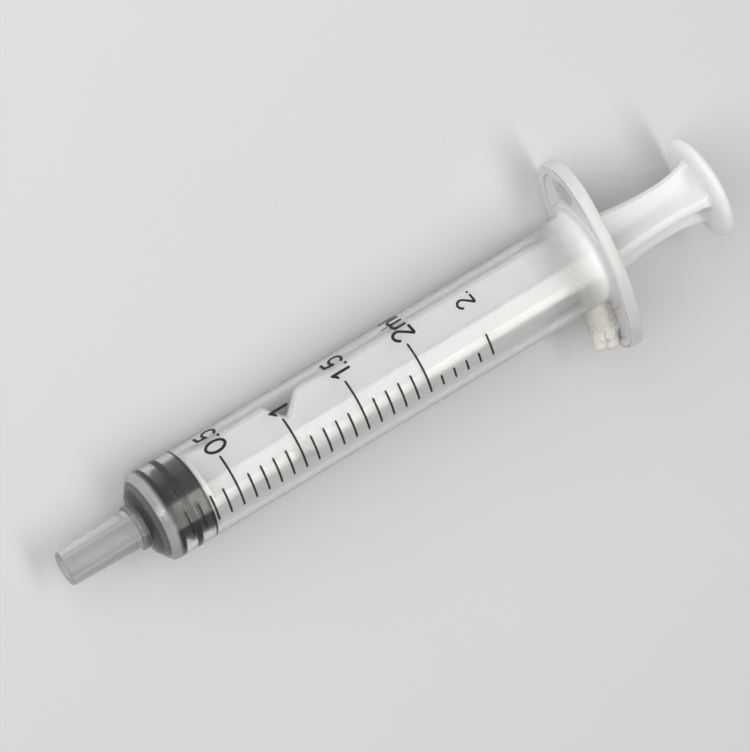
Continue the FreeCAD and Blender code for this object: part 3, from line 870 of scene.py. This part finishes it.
def thumb_line():
    """The thumb disc's half outline: a soft front rim and a rounder back edge."""
    quarter = np.linspace(0, math.pi / 2, 15)
    front_rim = np.column_stack([THUMB_FRONT + THUMB_FRONT_RIM_LENGTH * (1 - np.cos(quarter)),
                                 THUMB_RADIUS - THUMB_FRONT_RIM_REACH * (1 - np.sin(quarter))])
    back_rim = np.column_stack([THUMB_BACK - THUMB_BACK_ROUND * (1 - np.sin(quarter)),
                                THUMB_RADIUS - THUMB_BACK_ROUND * (1 - np.cos(quarter))])
    return np.vstack([[[THUMB_FRONT, 0]], front_rim, back_rim, [[THUMB_BACK, 0]]])


def front_line():
    """The half outline of the snap head, its neck and the front disc."""
    return rounded([
        (SNAP_HEAD_FRONT, 0, 0),
        (SNAP_HEAD_FRONT, SNAP_HEAD_RADIUS - SNAP_HEAD_CHAMFER, 0),
        (SNAP_HEAD_FRONT + SNAP_HEAD_CHAMFER, SNAP_HEAD_RADIUS, 0),
        (SNAP_NECK_FRONT, SNAP_HEAD_RADIUS, 0),
        (SNAP_NECK_FRONT, SNAP_NECK_RADIUS, 0),
        (ROD_FRONT, SNAP_NECK_RADIUS, INNER_ROUND),
        (ROD_FRONT, FRONT_DISC_RADIUS, FRONT_DISC_ROUND),
        (RIB_FRONT, FRONT_DISC_RADIUS, FRONT_DISC_ROUND),
        (RIB_FRONT, 0, 0),
    ], 6)


def join_into(first, second):
    """Merges the second piece into the first by an exact union."""
    union = first.modifiers.new("union", "BOOLEAN")
    union.operation = "UNION"
    union.solver = "EXACT"
    union.object = second
    graph = bpy.context.evaluated_depsgraph_get()
    mesh = bpy.data.meshes.new_from_object(first.evaluated_get(graph))
    first.modifiers.clear()
    old = first.data
    first.data = mesh
    bpy.data.meshes.remove(old)
    bpy.data.objects.remove(second)


def build_rod():
    """The whole white moulding: ribs, thumb disc, front disc and snap head."""
    sharp_angle = 35
    rod = make_object("rod_body", *rod_cross(), sharp_angle)
    for name, line in (("thumb", thumb_line()), ("front", front_line())):
        join_into(rod, make_object(name, *turned(divided(line, 0.9), 192), sharp_angle))
    rod.data.name = "rod_body"
    rod.data.shade_smooth()
    rod.data.set_sharp_from_angle(angle=math.radians(sharp_angle))
    ride_as(rod, "rod", "white_plastic", "white_plastic", "plunger_rod")


# Print

def ribbon(line, width, closed=False):
    """A printed stroke on the tube: (arc length, x) points widened into a thin closed shell."""
    line = np.array(line, float)
    if closed:
        ahead, behind = np.roll(line, -1, 0), np.roll(line, 1, 0)
    else:
        ahead = np.vstack([line[1:], 2 * line[-1] - line[-2]])
        behind = np.vstack([2 * line[0] - line[1], line[:-1]])
    along = ahead - behind
    along /= np.linalg.norm(along, axis=1)[:, None]
    side = np.column_stack([-along[:, 1], along[:, 0]])
    half = np.full(len(line), width / 2)
    if not closed:
        half[[0, -1]] *= 0.55
    half = half * (1 + 0.12 * flat_noise(line[:, 0], line[:, 1], 2.3, 7.0))
    left, right = line + side * half[:, None], line - side * half[:, None]
    rings = []
    for height, edge in ((INK_FOOT, left), (INK_TOP, left), (INK_TOP, right), (INK_FOOT, right)):
        a = edge[:, 0] / BARREL_RADIUS
        radius = BARREL_RADIUS + height
        rings.append(np.column_stack([edge[:, 1], radius * np.sin(a), radius * np.cos(a)]))
    points = np.stack(rings, axis=1).reshape(-1, 3)
    faces = quads(len(line), 4, wrap_rows=closed)
    if not closed:
        last = (len(line) - 1) * 4
        faces += [(0, 1, 2, 3), (last + 3, last + 2, last + 1, last)]
    return points, faces


def printed(name, strokes, *nodes):
    """One piece of ink out of many strokes."""
    points, faces, base = [], [], 0
    for stroke_points, stroke_faces in strokes:
        points.append(stroke_points)
        faces += [tuple(i + base for i in f) for f in stroke_faces]
        base += len(stroke_points)
    ride_as(make_object(name, np.vstack(points), faces, 30), "barrel", "black_ink", "black_ink", *nodes)


def arc(cx, cy, rx, ry, start, end, steps):
    """Points of an elliptic arc, its angles in degrees."""
    return [(cx + rx * math.cos(math.radians(a)), cy + ry * math.sin(math.radians(a)))
            for a in np.linspace(start, end, steps)]


# Glyphs as strokes in a box one unit high: a list of (points, closed), and the width
GLYPHS = {
    "0": ([(arc(0.31, 0.5, 0.29, 0.46, 0, 345, 24), True)], 0.62),
    "1": ([([(0.02, 0.74), (0.17, 0.82), (0.27, 0.96), (0.27, 0.04)], False)], 0.42),
    "2": ([(arc(0.30, 0.70, 0.26, 0.26, 172, -32, 14)
            + [(0.06, 0.06), (0.10, 0.04), (0.6, 0.04)], False)], 0.64),
    "5": ([([(0.52, 0.96), (0.14, 0.96), (0.08, 0.52)]
            + arc(0.28, 0.33, 0.27, 0.29, 128, -150, 16), False)], 0.60),
    ".": ([([(0.08, 0.0), (0.08, 0.13)], False)], 0.17),
    "m": ([([(0.04, 0.04), (0.04, 0.66)], False),
           (arc(0.24, 0.46, 0.19, 0.2, 170, 0, 10) + [(0.43, 0.04)], False),
           (arc(0.62, 0.46, 0.19, 0.2, 170, 0, 10) + [(0.81, 0.04)], False)], 0.9),
    "l": ([([(0.06, 0.04), (0.06, 0.96)], False)], 0.2),
}
GLYPH_GAP = 0.08
POINT_STROKE_SHARE = 1.15


def words(text, centre_x, start_angle, height, stroke):
    """Strokes of text round the tube, reading away from the scale, with its top towards the nozzle."""
    out = []
    s0 = math.radians(start_angle) * BARREL_RADIUS
    for letter in text:
        strokes, width = GLYPHS[letter]
        for points, closed in strokes:
            line = np.array([(s0 + px * height, centre_x + (0.5 - py) * height) for px, py in points])
            if not closed:
                line = divided(line, 0.16)
            out.append(ribbon(line, stroke * POINT_STROKE_SHARE if letter == "." else stroke, closed))
        s0 += (width + GLYPH_GAP) * height
    return out


def line_arc(division):
    """How far a division's line reaches round the tube."""
    if division == LAST_DIVISION:
        return LAST_LINE_ARC
    if division > NUMBERED_DIVISIONS:
        return FINE_LINE_ARC
    if division % DIVISIONS_PER_NUMBER == 0:
        return LONG_LINE_ARC
    return SHORT_LINE_ARC


def scale_line(division):
    """One graduation line, its lower end on the scale's edge."""
    low = math.radians(SCALE_EDGE_ANGLE) * BARREL_RADIUS
    high = math.radians(SCALE_EDGE_ANGLE + line_arc(division)) * BARREL_RADIUS
    steps = max(6, int((high - low) / 0.15))
    line = [(low + (high - low) * k / steps, division * DIVISION) for k in range(steps + 1)]
    return ribbon(line, LINE_WIDTH)


def build_print():
    """The graduation lines, with none at zero, and the numerals beside the long ones."""
    lines = [scale_line(division) for division in range(1, LAST_DIVISION + 1)]
    printed("scale_lines", lines, "scale_print")
    numerals = []
    for division, text in ((5, "0.5"), (10, "1"), (15, "1.5"), (20, "2ml")):
        place = division * DIVISION + NUMERAL_SHIFT
        numerals += words(text, place, NUMERAL_ANGLE, NUMERAL_HEIGHT, NUMERAL_STROKE)
    last_place = LAST_DIVISION * DIVISION + LAST_NUMERAL_SHIFT
    numerals += words("2.", last_place, LAST_NUMERAL_ANGLE, LAST_NUMERAL_HEIGHT, LAST_NUMERAL_STROKE)
    printed("scale_numerals", numerals)


# Stage, light and camera

# The floor, in metres, and the sky
FLOOR_HALF = 2.5
FLOOR_DROP = 0.00002
WORLD_COLOUR = (0.95, 0.97, 1.0, 1)
WORLD_STRENGTH = 0.28

# The axis's dip and turn, the ears' roll and one point of the axis, as the photograph shows them
CAMERA_DIP = 15.090
CAMERA_TURN = 30.987
CAMERA_ROLL = 30.0
SEEN_POINT = 27.991
SEEN_PLACE = (0, 0.776, 1081.36)
FOCAL_PIXELS = 10133
PHOTO_HEIGHT_PIXELS = 752
SENSOR_MM = 36


def build_stage():
    """A plain pale floor and a dim even sky."""
    mesh = bpy.data.meshes.new("floor")
    corners = [(x * FLOOR_HALF, y * FLOOR_HALF, 0) for x, y in ((-1, -1), (1, -1), (1, 1), (-1, 1))]
    mesh.from_pydata(corners, [], [(0, 1, 2, 3)])
    floor = bpy.data.objects.new("floor", mesh)
    floor.data.materials.append(MATERIALS["floor_matte"])
    bpy.context.scene.collection.objects.link(floor)
    floor.location.z = -FLOOR_DROP
    world = bpy.data.worlds.new("studio")
    bpy.context.scene.world = world
    world.use_nodes = True
    world.node_tree.nodes["Background"].inputs["Color"].default_value = WORLD_COLOUR
    world.node_tree.nodes["Background"].inputs["Strength"].default_value = WORLD_STRENGTH


def soft_box(name, around_axis, lean, size_along, size_across, power, colour):
    """A big soft lamp: its angle is from the ear's side over the top, its lean is along the axis."""
    distance = 0.6
    a = math.radians(around_axis)
    back = Vector((math.sin(math.radians(lean)), math.cos(a), math.sin(a))).normalized()
    lamp = bpy.data.lights.new(name, "AREA")
    lamp.shape = "RECTANGLE"
    lamp.size = size_along
    lamp.size_y = size_across
    lamp.energy = power
    lamp.color = colour
    obj = bpy.data.objects.new(name, lamp)
    bpy.context.scene.collection.objects.link(obj)
    obj.location = back * distance
    across = back.cross(Vector((1, 0, 0))).normalized()
    along = across.cross(back).normalized()
    obj.rotation_mode = "QUATERNION"
    obj.rotation_quaternion = Matrix((along, across, back)).transposed().to_quaternion()
    obj.visible_camera = False


def build_camera():
    """The photograph's own camera, worked out from the barrel's edges, the scale and the flange."""
    dip, turn, roll = (math.radians(v) for v in (CAMERA_DIP, CAMERA_TURN, CAMERA_ROLL))
    axis = np.array([math.cos(dip) * math.cos(turn), -math.cos(dip) * math.sin(turn), math.sin(dip)])
    p = np.array([math.sin(turn), math.cos(turn), 0])
    q = np.array([-math.cos(turn) * math.sin(dip), math.sin(turn) * math.sin(dip), math.cos(dip)])
    ears = -math.cos(roll) * p - math.sin(roll) * q
    upward = -math.cos(roll) * q + math.sin(roll) * p
    zero = np.array(SEEN_PLACE) - SEEN_POINT * axis
    view = np.array([axis, ears, upward])
    eye = laid([view @ -zero])[0]
    c, s = math.cos(REST_TILT), math.sin(REST_TILT)
    right, down, forward = (np.array([[c, 0, -s], [0, 1, 0], [s, 0, c]]) @ view).T
    camera = bpy.data.cameras.new("camera")
    camera.lens = FOCAL_PIXELS * SENSOR_MM / PHOTO_HEIGHT_PIXELS
    camera.sensor_width = SENSOR_MM
    camera.clip_start, camera.clip_end = 0.05, 20
    obj = bpy.data.objects.new("camera", camera)
    bpy.context.scene.collection.objects.link(obj)
    rows = np.column_stack([right, -down, -forward, eye])
    obj.matrix_world = Matrix((*(tuple(row) for row in rows), (0, 0, 0, 1)))
    bpy.context.scene.camera = obj


build_camera()
build_stage()
soft_box("strip", 90, 15, 0.14, 0.69, 1.5, (1.0, 0.95, 0.88))
soft_box("main", 45, -36, 0.6, 0.6, 3.0, (1.0, 1.0, 1.0))
build_barrel()
build_lump()
build_stopper()
build_rod()
build_print()
bpy.context.scene.view_settings.view_transform = "Standard"
